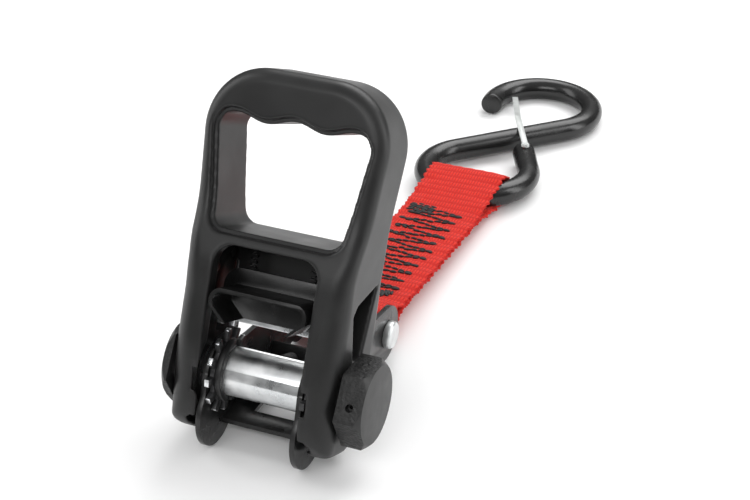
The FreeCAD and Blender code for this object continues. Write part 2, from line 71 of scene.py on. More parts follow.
floor_mesh = bpy.data.meshes.new("floor")
floor_mesh.from_pydata([(-4, -4, 0), (4, -4, 0), (4, 6, 0), (-4, 6, 0)], [], [(0, 1, 2, 3)])
floor = bpy.data.objects.new("floor", floor_mesh)
scene.collection.objects.link(floor)
card = bpy.data.materials.new("white_card")
card.use_nodes = True
card.node_tree.nodes["Principled BSDF"].inputs["Base Color"].default_value = (0.93, 0.93, 0.93, 1)
card.node_tree.nodes["Principled BSDF"].inputs["Roughness"].default_value = 0.9
card.node_tree.nodes["Principled BSDF"].inputs["Specular IOR Level"].default_value = 0.0
floor_mesh.materials.append(card)

world = bpy.data.worlds.new("studio")
scene.world = world
world.use_nodes = True
tree = world.node_tree
sky = tree.nodes["Background"]
place = tree.nodes.new("ShaderNodeTexCoord")
split = tree.nodes.new("ShaderNodeSeparateXYZ")
bands = tree.nodes.new("ShaderNodeValToRGB")
bands.color_ramp.elements[0].position = 0.0
bands.color_ramp.elements[0].color = (0.04, 0.04, 0.04, 1)
bands.color_ramp.elements[1].position = 1.0
bands.color_ramp.elements[1].color = (0.8, 0.8, 0.8, 1)
tree.links.new(place.outputs["Generated"], split.inputs[0])
tree.links.new(split.outputs["Z"], bands.inputs[0])
tree.links.new(bands.outputs[0], sky.inputs["Color"])
sky.inputs["Strength"].default_value = 0.8

LIGHTS = (
    # name, where it is, what it faces, width, height, watts
    ("back_box", (0.1, 0.75, 0.95), (0.0, 0.0, 0.03), 1.1, 0.7, 11.0),
    ("left_box", (-0.85, -0.2, 0.5), (0.0, -0.1, 0.05), 0.5, 0.9, 4.0),
    ("right_box", (0.95, 0.15, 0.45), (0.0, -0.1, 0.05), 0.35, 0.9, 4.5),
    ("front_box", (0.05, -0.95, 0.75), (0.0, -0.1, 0.05), 0.9, 0.4, 4.5),
)
for name, spot, aim, width, height, watts in LIGHTS:
    lamp = bpy.data.lights.new(name, "AREA")
    lamp.shape = "RECTANGLE"
    lamp.size = width
    lamp.size_y = height
    lamp.energy = watts
    holder = bpy.data.objects.new(name, lamp)
    holder.location = spot
    holder.rotation_euler = (Vector(aim) - Vector(spot)).to_track_quat("-Z", "Y").to_euler()
    scene.collection.objects.link(holder)

eye = Vector((0.2399, -0.6349, 0.4062))
looked_at = Vector((0.0358, -0.1442, 0.0884))
lens = bpy.data.cameras.new("camera")
lens.lens = 86.4
lens.sensor_width = 36.0
lens.clip_start = 0.01
camera = bpy.data.objects.new("camera", lens)
camera.location = eye
camera.rotation_euler = (looked_at - eye).to_track_quat("-Z", "Y").to_euler()
scene.collection.objects.link(camera)
scene.camera = camera

# ---- frame: pressed steel, painted black -------------------------------------------------
# Two side plates and a base with a window, bent from one 2 mm strip, with the edges a
# little rounded by the press. The black paint is semi-gloss.


def paint_mix(name, colours, rough, scale, bump, depth, metal=0.0, detail=4.0, shine=0.5):
    """A finish whose colour, roughness and surface all wander with noise over the piece.

    colours and rough are low and high; scale is the noise per metre; depth is in metres.
    """
    made = bpy.data.materials.new(name)
    made.use_nodes = True
    tree = made.node_tree
    shader = tree.nodes["Principled BSDF"]
    where = tree.nodes.new("ShaderNodeTexCoord")
    wander = tree.nodes.new("ShaderNodeTexNoise")
    wander.inputs["Scale"].default_value = scale
    wander.inputs["Detail"].default_value = detail
    tree.links.new(where.outputs["Object"], wander.inputs["Vector"])
    tint = tree.nodes.new("ShaderNodeValToRGB")
    tint.color_ramp.elements[0].position = 0.3
    tint.color_ramp.elements[0].color = (*colours[0], 1)
    tint.color_ramp.elements[1].position = 0.7
    tint.color_ramp.elements[1].color = (*colours[1], 1)
    tree.links.new(wander.outputs["Fac"], tint.inputs[0])
    tree.links.new(tint.outputs[0], shader.inputs["Base Color"])
    gloss = tree.nodes.new("ShaderNodeMapRange")
    gloss.inputs["From Min"].default_value = 0.3
    gloss.inputs["From Max"].default_value = 0.7
    gloss.inputs["To Min"].default_value = rough[0]
    gloss.inputs["To Max"].default_value = rough[1]
    tree.links.new(wander.outputs["Fac"], gloss.inputs["Value"])
    tree.links.new(gloss.outputs[0], shader.inputs["Roughness"])
    grain = tree.nodes.new("ShaderNodeTexNoise")
    grain.inputs["Scale"].default_value = bump
    grain.inputs["Detail"].default_value = 3.0
    tree.links.new(where.outputs["Object"], grain.inputs["Vector"])
    relief = tree.nodes.new("ShaderNodeBump")
    relief.inputs["Strength"].default_value = 1.0
    relief.inputs["Distance"].default_value = depth
    tree.links.new(grain.outputs["Fac"], relief.inputs["Height"])
    tree.links.new(relief.outputs[0], shader.inputs["Normal"])
    shader.inputs["Metallic"].default_value = metal
    shader.inputs["Specular IOR Level"].default_value = shine
    return made


def softened(node, body, finish, edge, steps=2, angle=35.0):
    """A copy of a CAD node with its sharp edges rounded, which then stands for the node."""
    shape = bmesh.new()
    shape.from_mesh(nodes[node].data)
    bmesh.ops.remove_doubles(shape, verts=shape.verts, dist=2e-6)
    flat = math.radians(0.5)
    bmesh.ops.dissolve_limit(shape, angle_limit=flat, verts=shape.verts, edges=shape.edges)
    made = bpy.data.meshes.new(node + "_look")
    shape.to_mesh(made)
    shape.free()
    piece = bpy.data.objects.new(node + "_look", made)
    scene.collection.objects.link(piece)
    rounding = piece.modifiers.new("rounding", "BEVEL")
    rounding.width = edge
    rounding.segments = steps
    rounding.limit_method = "ANGLE"
    rounding.angle_limit = math.radians(angle)
    rounding.use_clamp_overlap = True
    rounding.harden_normals = False
    depsgraph = bpy.context.evaluated_depsgraph_get()
    plain = bpy.data.meshes.new_from_object(piece.evaluated_get(depsgraph))
    piece.modifiers.clear()
    piece.data = plain
    plain.materials.clear()
    plain.materials.append(finish)
    plain.shade_smooth()
    plain.set_sharp_from_angle(angle=math.radians(angle))
    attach(piece, body)
    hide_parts(node)
    return piece


black_paint = paint_mix(
    "frame_paint", ((0.007, 0.007, 0.007), (0.014, 0.014, 0.014)), (0.24, 0.38), 120, 900, 1.2e-5
)
softened("base_frame", "frame", black_paint, 0.45 * MM)
softened("lock_spring_seat", "frame", black_paint, 0.3 * MM)

# ---- lock pawl and anchor: bright zinc-plated steel --------------------------------------
# The locking pawl slides in the side plates; the anchor bolt crosses the back of the frame
# through a sleeve. All of it is barrel plated: bright, with dull smudges.

zinc = paint_mix(
    "zinc_plate",
    ((0.62, 0.64, 0.66), (0.86, 0.87, 0.87)),
    (0.2, 0.42),
    150,
    1400,
    0.6e-5,
    metal=1.0,
)
dull_zinc = paint_mix(
    "dull_zinc",
    ((0.66, 0.68, 0.68), (0.80, 0.82, 0.82)),
    (0.36, 0.5),
    220,
    1600,
    1e-5,
    metal=0.9,
)
softened("lock_pawl", "lock_pawl", zinc, 0.3 * MM)
softened("anchor_bolt", "frame", dull_zinc, 0.3 * MM, angle=50.0)
softened("anchor_nut", "frame", dull_zinc, 0.5 * MM)
softened("anchor_sleeve", "frame", zinc, 0.3 * MM, angle=50.0)
wire_steel = paint_mix(
    "spring_wire", ((0.03, 0.03, 0.03), (0.07, 0.07, 0.07)), (0.35, 0.5), 300, 1500, 0.5e-5, metal=1.0
)
nodes["lock_springs"].data.materials.clear()
nodes["lock_springs"].data.materials.append(wire_steel)

# ---- spool: two half-round zinc shafts, wheels, a collar ---------------------------------
# The shafts leave the webbing slot between them, and their plating is smudged where it was
# handled. The wheels' side faces are made dark and the right wheel is dark all over; the left one's tooth
# rims keep the bright zinc.

streaked = paint_mix(
    "streaked_zinc",
    ((0.60, 0.62, 0.63), (0.96, 0.97, 0.97)),
    (0.24, 0.46),
    110,
    1500,
    0.8e-5,
    metal=1.0,
    detail=9.0,
)
for side in ("front", "rear"):
    softened("half_shaft_" + side, "spool", streaked, 0.35 * MM, angle=50.0)
moulded = paint_mix(
    "collar_plastic", ((0.010, 0.010, 0.010), (0.016, 0.016, 0.016)), (0.38, 0.5), 120, 1300, 1e-5
)
# the dark colour put on the wheels' side faces, and on all of the right wheel
wheel_side_dark = paint_mix(
    "wheel_face", ((0.012, 0.012, 0.012), (0.05, 0.05, 0.052)), (0.3, 0.45), 260, 1300, 2e-5, metal=0.3
)
TOOTH_BRIGHT = 14.6 * MM  # from the axis to where a tooth's bright zinc rim starts
for side in ("left", "right"):
    wheel = softened("ratchet_wheel_" + side, "spool", zinc, 0.45 * MM)
    wheel.data.materials.append(wheel_side_dark)
    for face in wheel.data.polygons:
        middle = face.center - Vector(joints["spool_spin"]["pos_m"])
        tip = abs(face.normal.x) < 0.9 and math.hypot(middle.y, middle.z) > TOOTH_BRIGHT
        face.material_index = 0 if tip and side == "left" else 1
softened("spool_collar", "spool", moulded, 0.35 * MM)

# ---- knobs: cast hexagons, black ---------------------------------------------------------
# The six flats are left rough from the casting; the chamfer and outer face are turned
# smooth. A spring pin crosses the right knob.

cast_flat = paint_mix(
    "cast_flat", ((0.006, 0.006, 0.006), (0.016, 0.016, 0.016)), (0.36, 0.6), 420, 700, 5e-4, shine=0.4
)
turned_face = paint_mix(
    "turned_face", ((0.013, 0.013, 0.013), (0.02, 0.02, 0.02)), (0.38, 0.48), 160, 1500, 0.8e-5, shine=0.4
)
for side in ("left", "right"):
    knob = softened("knob_" + side, "spool", turned_face, 0.7 * MM, steps=3)
    knob.data.materials.append(cast_flat)
    for face in knob.data.polygons:
        face.material_index = 1 if abs(face.normal.x) < 0.3 else 0
pin_steel = paint_mix(
    "pin_steel", ((0.05, 0.05, 0.05), (0.12, 0.12, 0.12)), (0.35, 0.5), 300, 1500, 0.5e-5, metal=1.0
)
for node in ("knob_pin", "cheek_rivets"):
    nodes[node].data.materials.clear()
    nodes[node].data.materials.append(pin_steel)

# ---- handle: one moulded loop of black nylon ---------------------------------------------
# A closed grip whose two arms run down over steel cheeks to the spool. The hand hole has a
# raised lip round its front edge and three finger hollows under its top bar.
#
# The shape is a field of distances on a fine grid, so that every edge is as round as in the
# mould. In it x is across, r is outward from the spool axis and t is towards the front.
pivot = Vector(joints["handle_pivot"]["pos_m"])
LEAN = math.radians(25.0)
OUTWARD = np.array((0.0, math.sin(LEAN), math.cos(LEAN)))
FORWARD = np.array((0.0, -math.cos(LEAN), math.sin(LEAN)))

GRIP_TOP = 112.0
GRIP_LOW = -24.0
GRIP_HALF = 32.3
GRIP_FLARE = 42.0  # above this r the grip widens
GRIP_TOP_HALF = 37.4
GRIP_CORNER = 25.0
ARM_CORNER = 6.5
CORNER_FROM = 40.0  # above this r the outline has the grip's corners, below it the arms'
ARM_FRONT = ((-24, 13.0), (10, 18.5), (44, 18.5), (62, 13.0), (120, 13.0))  # r, t
ARM_BACK = ((-24, -15.0), (4, -23.5), (30, -23.5), (60, -15.0), (120, -15.0))
GRIP_ROUND = 5.5
ARM_ROUND = 3.0  # how much rounder the arms' edges are than the grip's
ARM_FROM = 50.0  # the arms' rounding comes in below this r, over ARM_FADE
ARM_FADE = 20.0
ARM_END = (-4.0, -2.0, 20.0)  # r, t and radius of the arms' lower ends, from the side
OPEN_HALF = 22.4
OPEN_CORNER = 7.0
OPEN_TOP = 48.0
LIP_HALF = 20.1
LIP_BACK = 12.2
WALL_FRONT = -8.0
WALL_BACK = -10.5
WALL_LOW = 34.5
WALL_SUNK = (2.0, 1.0)  # how far the wall runs into the arms and the crossbar
WHEEL_ROOM = 16.6
CHEEK_OUT = 24.4
POCKET_LOW = -20.4
WINDOW_LOW = 53.0
WINDOW_TOP = 93.0
WINDOW_LOW_HALF = 24.5
WINDOW_TOP_HALF = 30.0
WINDOW_CORNER = 4.5
LIP_WIDE = 1.5
LIP_SET = 2.2  # how far the window's lip stands back from the front
HOLLOW_STEP = 23.0
HOLLOW_DEEP = 1.25  # half the height of the hollows' wave
HOLLOW_DROP = 0.75  # how far the wave's low points come below WINDOW_TOP
HOLLOW_END = 30.5
HOLLOW_FADE = 3.0
HOLLOW_FROM = 80.0  # above this r the window's outline carries the wave
SIDE_SLOT = ((-12.0, 40.5), (5.0, 34.0), (7.5, 30.5), (1.5, 14.0), (-6.5, 13.5))  # t, r
SIDE_SLOT_IN = 22.0
SHAFT_ROOM = 9.5
BELOW = -60.0  # an r well past the arms' lower ends
INSIDE = -9.0  # a distance well inside the grip
END_EDGE = 2.0  # how widely each cut's edge is rounded
OPEN_EDGE = 1.2
POCKET_EDGE = 0.3
SLOT_EDGE = 0.8
SHAFT_EDGE = 0.5
STEP = 0.66  # of the grid
GRID_LOW = (-39.0, -27.0, -26.0)
GRID_HIGH = (39.0, 115.0, 21.5)


def smooth_max(a, b, k):
    """The larger of two fields, with the edge where they meet rounded over about k."""
    h = np.maximum(k - np.abs(a - b), 0.0) / k
    return np.maximum(a, b) + h * h * k * 0.25


def trapezoid(x, r, low, high, low_half, high_half, corner, knee=None):
    """Distance to a symmetric outline in x and r with rounded corners.

    Its half width is low_half up to the knee, and then grows to high_half at the top.
    """
    knee = low if knee is None else knee
    slope = (high_half - low_half) / (high - knee)
    lean = 1.0 if knee > low else math.hypot(1.0, slope)
    side = (np.abs(x) - low_half - slope * np.maximum(r - knee, 0.0)) / lean + corner
    end = np.maximum(r - high, low - r) + corner
    outside = np.hypot(np.maximum(side, 0), np.maximum(end, 0))
    return outside + np.minimum(np.maximum(side, end), 0) - corner


def eased(knots, r):
    """A broken line of (r, t), its bends rounded off, read at r."""
    along = np.arange(-60.0, 150.0, 0.5)
    value = np.interp(along, [k[0] for k in knots], [k[1] for k in knots])
    for _ in range(2):
        padded = np.concatenate([np.full(10, value[0]), value, np.full(10, value[-1])])
        value = np.convolve(padded, np.ones(21) / 21, "valid")
    return np.interp(r, along, value)


def inside_all(corners, t, r):
    """Distance to a convex outline of (t, r) corners, given clockwise."""
    field = -1e3
    for (t0, r0), (t1, r1) in zip(corners, corners[1:] + corners[:1]):
        length = math.hypot(t1 - t0, r1 - r0)
        field = np.maximum(field, ((r - r0) * (t1 - t0) - (t - t0) * (r1 - r0)) / length)
    return field


def slab_edge(outline, depth, half, rounding):
    """An outline made a slab, its rim rounded: depth is measured from the middle of the slab."""
    a = outline + rounding
    b = np.abs(depth) - half + rounding
    outside = np.hypot(np.maximum(a, 0), np.maximum(b, 0))
    return outside + np.minimum(np.maximum(a, b), 0) - rounding


def grip_body(x, r, t, front, back):
    """The grip as a solid loop, before anything is cut from it."""
    corner = np.where(r > CORNER_FROM, GRIP_CORNER, ARM_CORNER)
    outline = trapezoid(
        x, r, GRIP_LOW, GRIP_TOP, GRIP_HALF, GRIP_TOP_HALF, corner, knee=GRIP_FLARE
    )
    rounding = GRIP_ROUND + ARM_ROUND * np.clip((ARM_FROM - r) / ARM_FADE, 0, 1)
    body = slab_edge(outline, t - (front + back) / 2, (front - back) / 2, rounding)
    end_r, end_t, end_radius = ARM_END
    low_end = np.hypot(np.minimum(r - end_r, 0), t - end_t) - end_radius
    return smooth_max(body, np.where(r < end_r, low_end, INSIDE), END_EDGE)


def hand_window(x, r, t, front):
    """The hand hole: a wave of hollows along its top, and a lip set back from the front."""
    wave = HOLLOW_DEEP * (1 + np.cos(x / HOLLOW_STEP * 2 * math.pi))
    wave = wave * np.clip((HOLLOW_END - np.abs(x)) / HOLLOW_FADE, 0, 1)
    lifted = r - np.where(r > HOLLOW_FROM, wave - HOLLOW_DROP, 0)
    window = trapezoid(
        x, lifted, WINDOW_LOW, WINDOW_TOP, WINDOW_LOW_HALF, WINDOW_TOP_HALF, WINDOW_CORNER
    )
    return np.minimum(window, np.maximum(window - LIP_WIDE, front - LIP_SET - t))


def between_arms(x, r, t):
    """The opening: wide behind, narrower between the arms' front lips, and room for wheels."""
    wide = trapezoid(x, r, BELOW, OPEN_TOP, OPEN_HALF, OPEN_HALF, OPEN_CORNER)
    narrow = trapezoid(x, r, BELOW, OPEN_TOP, LIP_HALF, LIP_HALF, OPEN_CORNER)
    wheels = np.maximum(np.hypot(r, t) - WHEEL_ROOM, np.abs(x) - OPEN_HALF)
    arms = np.minimum(np.maximum(wide, t - LIP_BACK), np.maximum(narrow, -t))
    return np.minimum(arms, wheels)


def back_wall(x, r, t):
    """The wall across the back of the opening, above the tray."""
    sideways, upward = WALL_SUNK
    wall = np.maximum(np.maximum(t - WALL_FRONT, WALL_BACK - t), np.abs(x) - OPEN_HALF - sideways)
    return np.maximum(wall, np.maximum(WALL_LOW - r, r - OPEN_TOP - upward))


def cheek_pockets(x, r, t):
    """Room in the arms for the steel cheeks."""
    upper = np.maximum(np.maximum(WALL_FRONT - t, t - LIP_BACK), r - OPEN_TOP)
    pocket = np.minimum(upper, np.maximum(t - WALL_FRONT, r - WALL_LOW))
    return np.maximum(pocket, np.maximum(np.abs(x) - CHEEK_OUT, POCKET_LOW - r))


def grip_field(x, r, t):
    front, back = eased(ARM_FRONT, r), eased(ARM_BACK, r)
    body = grip_body(x, r, t, front, back)
    body = smooth_max(body, -hand_window(x, r, t, front), OPEN_EDGE)
    body = smooth_max(body, -between_arms(x, r, t), OPEN_EDGE)
    body = np.minimum(body, back_wall(x, r, t))
    body = smooth_max(body, -cheek_pockets(x, r, t), POCKET_EDGE)
    slot = np.maximum(inside_all(SIDE_SLOT, t, r), SIDE_SLOT_IN - np.abs(x))
    body = smooth_max(body, -slot, SLOT_EDGE)
    return smooth_max(body, SHAFT_ROOM - np.hypot(r, t), SHAFT_EDGE)


def surface_of(field, low, high, step, name):
    """The zero surface of field(x, r, t) in a box, as a closed quad mesh in those axes."""
    axes = [np.arange(low[i], high[i] + step, step) for i in range(3)]
    x, r, t = np.meshgrid(*axes, indexing="ij", sparse=True)
    values = field(x, r, t).astype(np.float32)
    grid = openvdb.FloatGrid(float(values.max()))
    grid.copyFromArray(values)
    points, quads = grid.convertToQuads(0.0)
    points = points * step + np.array(low)
    made = bpy.data.meshes.new(name)
    made.from_pydata(points.tolist(), [], quads.tolist())
    made.update()
    return made


def in_handle(made):
    """Take a mesh from the handle's own x, r, t in millimetres to the row frame."""
    local = np.empty(len(made.vertices) * 3)
    made.vertices.foreach_get("co", local)
    local = local.reshape(-1, 3) * MM
    world = np.array(pivot) + local[:, :1] * np.array((1.0, 0.0, 0.0))
    world = world + local[:, 1:2] * OUTWARD + local[:, 2:] * FORWARD
    made.vertices.foreach_set("co", world.ravel())
    made.update()


def outwards(made):
    """Merge a closed mesh's doubles and turn its faces outwards."""
    shape = bmesh.new()
    shape.from_mesh(made)
    bmesh.ops.remove_doubles(shape, verts=shape.verts, dist=1e-7)
    bmesh.ops.recalc_face_normals(shape, faces=shape.faces)
    shape.to_mesh(made)
    shape.free()


nylon = paint_mix(
    "grip_nylon", ((0.009, 0.009, 0.009), (0.014, 0.014, 0.014)), (0.36, 0.46), 60, 2600, 0.8e-5, shine=0.4
)
grip_mesh = surface_of(grip_field, GRID_LOW, GRID_HIGH, STEP, "grip")
in_handle(grip_mesh)
outwards(grip_mesh)
grip = bpy.data.objects.new("grip", grip_mesh)
scene.collection.objects.link(grip)
grip_mesh.materials.append(nylon)
grip_mesh.shade_smooth()
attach(grip, "handle")
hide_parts("handle_grip")

# ---- cheeks, drive pawl and its tray -----------------------------------------------------
# The cheeks inside the arms are dull black. The zinc pawl is pulled by a pressed tray in
# glossy black, and the springs are dark wire.
cheek_paint = paint_mix(
    "cheek_paint", ((0.006, 0.006, 0.006), (0.012, 0.012, 0.012)), (0.5, 0.65), 120, 900, 1.2e-5, shine=0.12
)
for side in ("left", "right"):
    softened("handle_cheek_" + side, "handle", cheek_paint, 0.3 * MM)
softened("drive_pawl", "drive_pawl", zinc, 0.35 * MM)
glossy = paint_mix(
    "tray_paint", ((0.006, 0.006, 0.006), (0.012, 0.012, 0.012)), (0.16, 0.28), 90, 1200, 0.8e-5
)
softened("pawl_pull", "drive_pawl", glossy, 0.5 * MM, steps=3)
nodes["drive_springs"].data.materials.clear()
nodes["drive_springs"].data.materials.append(wire_steel)

# ---- strap: red ribbed webbing, looped at both ends --------------------------------------
# One length of polyester webbing lies double between a loop round the bolt's sleeve and a
# loop round the hook's eye. It is woven with ribs across it, and its edges wave a little.
WEB_WIDTH = 34.0 * MM
WEB_THICK = 1.45 * MM
RIB = 1.9 * MM
RIB_RISE = 0.13 * MM
EDGE_WAVE = 0.6 * MM
WAVER = 0.75 * MM  # how far the edges wander
CURL = 0.5 * MM  # how far the edges curl up and down, over each CURL_STEP
CURL_STEP = 11 * MM
RIPPLE = 0.10 * MM
TWIST = 0.10  # how fast the strap turns about its length where it nears the hook
TWIST_FROM = 0.75  # as a share of the way to the hook
bolt = Vector(joints["strap_swing"]["pos_m"])
swivel = Vector(joints["hook_swivel"]["pos_m"])

# the route is a stadium-like loop in y and z, seen from the right, starting under the eye
SLEEVE_R = 6.0 * MM + 0.6 * MM + WEB_THICK / 2 + 0.12 * MM
EYE_ROD = 5.25 * MM + 0.5 * MM + WEB_THICK / 2 + 0.12 * MM
LOOP = 22.0 * MM
ROOM = 11.0 * MM
PLY = 0.86 * MM  # from the strap's middle plane to the middle of each layer
mid0 = Vector((bolt.y + LOOP, bolt.z - 0.6 * MM))
mid1 = Vector((swivel.y - LOOP, swivel.z + 0.6 * MM))


def arc(centre, radius, first, last, count):
    turns = np.linspace(math.radians(first), math.radians(last), count)
    return [Vector((centre[0] + radius * math.cos(a), centre[1] + radius * math.sin(a))) for a in turns]


route = []
route += [mid1 + Vector((0, PLY)), mid0 + Vector((0, PLY))]
route += arc((bolt.y, bolt.z), SLEEVE_R, 90, 270, 25)
route += [mid0 - Vector((0, PLY)), mid1 - Vector((0, PLY))]
route += arc((swivel.y + ROOM, swivel.z), EYE_ROD, -90, 90, 25)
route.append(route[0])


def even_points(points, gap):
    """Points at an even gap along a broken line."""
    xy = np.array([tuple(p) for p in points])
    run = np.concatenate([[0], np.cumsum(np.linalg.norm(np.diff(xy, axis=0), axis=1))])
    count = int(round(run[-1] / gap))
    s = np.linspace(0, run[-1], count + 1)
    return np.stack([np.interp(s, run, xy[:, 0]), np.interp(s, run, xy[:, 1])], axis=1), s


coarse, _ = even_points(route, 0.5 * MM)
for _ in range(60):  # rounds the corners where a loop opens from the flat
    closed = coarse[:-1]
    closed = (np.roll(closed, 1, axis=0) + 2 * closed + np.roll(closed, -1, axis=0)) / 4
    coarse = np.concatenate([closed, closed[:1]])
line, s = even_points([Vector(p) for p in coarse], RIB / 4)
tangent = np.gradient(line, axis=0)
tangent /= np.linalg.norm(tangent, axis=1)[:, None]
normal = np.stack([-tangent[:, 1], tangent[:, 0]], axis=1)
if normal[np.argmax(line[:, 1]), 1] < 0:
    normal = -normal

COLUMNS = 26
across = np.linspace(-1, 1, COLUMNS)  # spaced anew so that columns are closest at the edges
across = np.sign(across) * (1 - (1 - np.abs(across)) ** 1.35)
rng = np.random.default_rng(7)
points = []
waver = np.cumsum(rng.normal(0, 1, len(s)))
waver -= np.linspace(waver[0], waver[-1], len(s))
waver = np.convolve(np.concatenate([waver[-24:], waver, waver[:24]]), np.ones(49) / 49, "valid")
waver = waver / np.abs(waver).max() * WAVER
for face in (1, -1):
    for i in range(len(s) - 1):
        y, z = line[i]
        nz = normal[i]
        share = np.clip((y - bolt.y) / (swivel.y - bolt.y), 0, 1)
        drift = bolt.x + (swivel.x - bolt.x) * share
        twist = TWIST * np.clip((y - bolt.y) / (swivel.y - bolt.y) - TWIST_FROM, 0, 0.5)
        phase = s[i] / RIB
        rib = 0.5 + 0.5 * math.cos(2 * math.pi * phase)
        edge_wave = EDGE_WAVE * math.cos(2 * math.pi * phase / 2) + waver[i]
        for k, u in enumerate(across):
            x = u * WEB_WIDTH / 2
            side = abs(u) ** 10
            x += math.copysign(edge_wave * side, u)
            thick = WEB_THICK / 2 * (1 - 0.55 * abs(u) ** 14)
            lift = RIB_RISE * rib * (1 - 0.6 * abs(u) ** 6)
            ripple = RIPPLE * math.sin(2 * math.pi * (u * 3.2 + s[i] * 40 + 0.3 * math.sin(s[i] * 90)))
            curl = CURL * abs(u) ** 3 * math.sin(2 * math.pi * s[i] / CURL_STEP + 2.1 * (u > 0))
            d = face * (thick + lift) + ripple + curl
            points.append((drift + x, y + nz[0] * d + twist * x, z + nz[1] * d))
rows = len(s) - 1
faces = []


def corner(face, i, k):
    return (0 if face == 1 else rows * COLUMNS) + (i % rows) * COLUMNS + k


for i in range(rows):
    for k in range(COLUMNS - 1):
        faces.append((corner(1, i, k), corner(1, i, k + 1), corner(1, i + 1, k + 1), corner(1, i + 1, k)))
        faces.append((corner(0, i, k), corner(0, i + 1, k), corner(0, i + 1, k + 1), corner(0, i, k + 1)))
    for k in (0, COLUMNS - 1):
        ring = (corner(1, i, k), corner(1, i + 1, k), corner(0, i + 1, k), corner(0, i, k))
        faces.append(ring if k == 0 else ring[::-1])
web_mesh = bpy.data.meshes.new("webbing")
web_mesh.from_pydata(points, [], faces)
web_mesh.update()
chart = web_mesh.uv_layers.new(name="weave")
uv_of = np.zeros((len(points), 2))
for face in (0, 1):
    for i in range(rows):
        start = face * rows * COLUMNS + i * COLUMNS
        uv_of[start : start + COLUMNS, 0] = across * WEB_WIDTH / 2
        uv_of[start : start + COLUMNS, 1] = s[i]
loops = np.empty(len(web_mesh.loops), dtype=int)
web_mesh.loops.foreach_get("vertex_index", loops)
chart.data.foreach_set("uv", uv_of[loops].ravel())
outwards(web_mesh)

webbing = bpy.data.materials.new("red_webbing")
webbing.use_nodes = True
tree = webbing.node_tree
shader = tree.nodes["Principled BSDF"]
shader.inputs["Roughness"].default_value = 0.75
shader.inputs["Sheen Weight"].default_value = 0.08
shader.inputs["Sheen Roughness"].default_value = 0.4
shader.inputs["Specular IOR Level"].default_value = 0.25
chart_node = tree.nodes.new("ShaderNodeUVMap")
chart_node.uv_map = "weave"
yarns = tree.nodes.new("ShaderNodeTexWave")
yarns.wave_type = "BANDS"
yarns.bands_direction = "Y"
yarns.inputs["Scale"].default_value = 0.314 / RIB / 2
yarns.inputs["Distortion"].default_value = 3.0
yarns.inputs["Detail"].default_value = 2.0
yarns.inputs["Detail Scale"].default_value = 260.0
warp = tree.nodes.new("ShaderNodeTexWave")
warp.wave_type = "BANDS"
warp.bands_direction = "X"
warp.inputs["Scale"].default_value = 0.314 / (1.3 * MM)
warp.inputs["Distortion"].default_value = 2.0
warp.inputs["Detail"].default_value = 1.0
warp.inputs["Detail Scale"].default_value = 200.0
tree.links.new(chart_node.outputs[0], yarns.inputs["Vector"])
tree.links.new(chart_node.outputs[0], warp.inputs["Vector"])
weave = tree.nodes.new("ShaderNodeMath")
weave.operation = "MULTIPLY"
tree.links.new(yarns.outputs["Fac"], weave.inputs[0])
tree.links.new(warp.outputs["Fac"], weave.inputs[1])
cloth = tree.nodes.new("ShaderNodeValToRGB")
cloth.color_ramp.elements[0].color = (0.56, 0.012, 0.007, 1)
cloth.color_ramp.elements[1].color = (0.87, 0.040, 0.021, 1)
cloth.color_ramp.elements[0].position = 0.0
cloth.color_ramp.elements[1].position = 0.6
tree.links.new(weave.outputs[0], cloth.inputs[0])
tree.links.new(cloth.outputs[0], shader.inputs["Base Color"])
relief = tree.nodes.new("ShaderNodeBump")
relief.inputs["Strength"].default_value = 0.8
relief.inputs["Distance"].default_value = 0.25 * MM
tree.links.new(weave.outputs[0], relief.inputs["Height"])
tree.links.new(relief.outputs[0], shader.inputs["Normal"])

strap = bpy.data.objects.new("webbing", web_mesh)
scene.collection.objects.link(strap)
web_mesh.materials.append(webbing)
web_mesh.shade_smooth()
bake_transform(strap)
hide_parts("strap_webbing")

# ---- stitching: black bonded thread ------------------------------------------------------
# A zigzag runs up the double part of the strap, with a bar tack where it starts and a knot
# where it ends. Each stitch is a short plump dash; a node tree sets one on every point.
THREAD = 0.6 * MM
DASH = 3.4 * MM
GAP = -0.5 * MM  # below zero, so that the dashes of a seam overlap a little
rand = random.Random(11)


def strap_top(x, y):
    """A point on the strap's upper face at x from its middle, over y."""
    share = (y - bolt.y) / (swivel.y - bolt.y)
    flat = (y - mid0.x) / (mid1.x - mid0.x)
    z = mid0.y + (mid1.y - mid0.y) * flat + PLY + WEB_THICK / 2
    return Vector((bolt.x + (swivel.x - bolt.x) * share + x, y, z + 0.3 * MM))


def seam(corners, jitter=0.25 * MM):
    """Dashes along a broken line on the strap: each one's middle and direction."""
    dashes = []
    for a, b in zip(corners[:-1], corners[1:]):
        way = b - a
        count = max(1, int(way.length / (DASH + GAP)))
        for i in range(count):
            share = (i + 0.5) / count
            p = a + way * share
            wobble = rand.gauss(0, jitter)
            spin = rand.gauss(0, 0.12)
            heading = math.atan2(way.y, way.x) + spin
            dashes.append((p.x, p.y + wobble, heading, 1.0 + rand.gauss(0, 0.08)))
    return dashes


LEFT = -13.5 * MM
RIGHT = 11.0 * MM
first_y = bolt.y + 28 * MM
last_y = bolt.y + 104 * MM
LEGS = 23
zigzag = []
for i in range(LEGS):
    y = last_y + (first_y - last_y) * i / (LEGS - 1)
    x = (LEFT if i % 2 == 0 else RIGHT) + rand.gauss(0, 0.6 * MM)
    zigzag.append(Vector((x, y)))
stitches = seam(zigzag)
for i in range(6):  # the bar tack
    y = last_y + 1.0 * MM - i * 1.1 * MM
    stitches += seam([Vector((LEFT - 1 * MM, y)), Vector((LEFT + 11 * MM, y - 0.8 * MM))], 0.35 * MM)
for i in range(16):  # the knot
    middle = Vector((RIGHT - 4.0 * MM, first_y - 1.5 * MM))
    spread = Vector((rand.gauss(0, 2.2 * MM), rand.gauss(0, 1.0 * MM)))
    stitches.append((middle.x + spread.x, middle.y + spread.y, rand.uniform(0, math.pi), 1.0))

